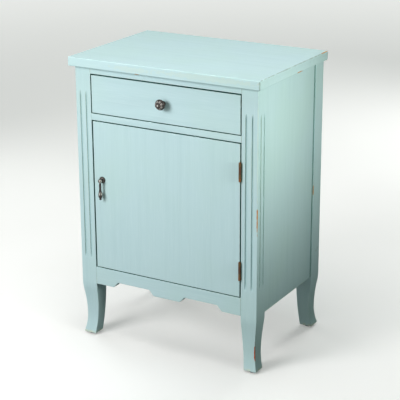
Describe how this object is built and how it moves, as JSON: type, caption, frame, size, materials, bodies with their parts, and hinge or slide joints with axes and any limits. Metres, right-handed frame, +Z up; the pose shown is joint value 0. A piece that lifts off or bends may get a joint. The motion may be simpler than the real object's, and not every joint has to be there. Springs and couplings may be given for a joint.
{
  "type": "storage end table",
  "caption": "Painted end table with fluted posts and sabre legs, an inset drawer with a cast knob over an inset cupboard door with a drop pull.",
  "frame": {"origin": "on the floor, at the centre of the overall footprint with the knob included", "axes": "+Z up, -Y to the front with the drawer and door, +X to the right of someone facing the front"},
  "size_m": [0.508, 0.364, 0.711],
  "materials": {
    "painted_wood": "pale aqua brushed paint, satin, rubbed through to brown wood at edges",
    "bare_wood": "unpainted light hardwood",
    "dark_bronze": "cast, antiqued dark bronze",
    "hinge_copper": "antiqued copper brown",
    "zinc_steel": "zinc plated",
    "catch_plastic": "moulded brown",
    "magnet": "sintered ferrite",
    "glide_plastic": "moulded black"
  },
  "bodies": {
    "case": {"top_board": "painted_wood", "front_left_leg": "painted_wood", "front_right_leg": "painted_wood", "rear_left_leg": "painted_wood", "rear_right_leg": "painted_wood", "left_side_panel": "painted_wood", "right_side_panel": "painted_wood", "back_panel": "painted_wood", "front_top_rail": "painted_wood", "drawer_rail": "painted_wood", "front_apron": "painted_wood", "cabinet_floor": "painted_wood", "rear_drawer_rail": "bare_wood", "rear_floor_rail": "bare_wood", "left_floor_cleat": "bare_wood", "right_floor_cleat": "bare_wood", "left_drawer_runner": "bare_wood", "right_drawer_runner": "bare_wood", "left_drawer_guide": "bare_wood", "right_drawer_guide": "bare_wood", "left_kicker": "bare_wood", "right_kicker": "bare_wood", "drawer_stops": "bare_wood", "upper_hinge_frame_leaf": "hinge_copper", "lower_hinge_frame_leaf": "hinge_copper", "hinge_frame_screws": "hinge_copper", "top_screws": "zinc_steel", "catch_screws": "zinc_steel", "catch_housing": "catch_plastic", "catch_magnet": "magnet", "foot_glides": "glide_plastic"},
    "drawer": {"drawer_front": "painted_wood", "drawer_left_side": "bare_wood", "drawer_right_side": "bare_wood", "drawer_back": "bare_wood", "drawer_bottom": "bare_wood", "drawer_knob": "dark_bronze", "knob_screw": "zinc_steel"},
    "door": {"door_panel": "painted_wood", "upper_hinge_door_leaf": "hinge_copper", "lower_hinge_door_leaf": "hinge_copper", "upper_hinge_pin": "hinge_copper", "lower_hinge_pin": "hinge_copper", "hinge_door_screws": "hinge_copper", "catch_strike": "zinc_steel", "strike_screw": "zinc_steel", "pull_rosette": "dark_bronze", "pull_screw": "zinc_steel", "pull_pin": "dark_bronze"},
    "pull_drop": {"pull_drop": "dark_bronze"}
  },
  "joints": [
    {"name": "drawer_slide", "type": "slide", "parent": "case", "child": "drawer", "axis": [0, -1, 0], "range_m": [0, 0.23]},
    {"name": "door_hinge", "type": "hinge", "parent": "case", "child": "door", "pos_m": [0.2, -0.1573, 0.37375], "axis": [0, 0, 1], "range_deg": [0, 170]},
    {"name": "pull_swing", "type": "hinge", "parent": "door", "child": "pull_drop", "pos_m": [-0.175, -0.165, 0.4155], "axis": [-1, 0, 0], "range_deg": [-8, 100]}
  ]
}
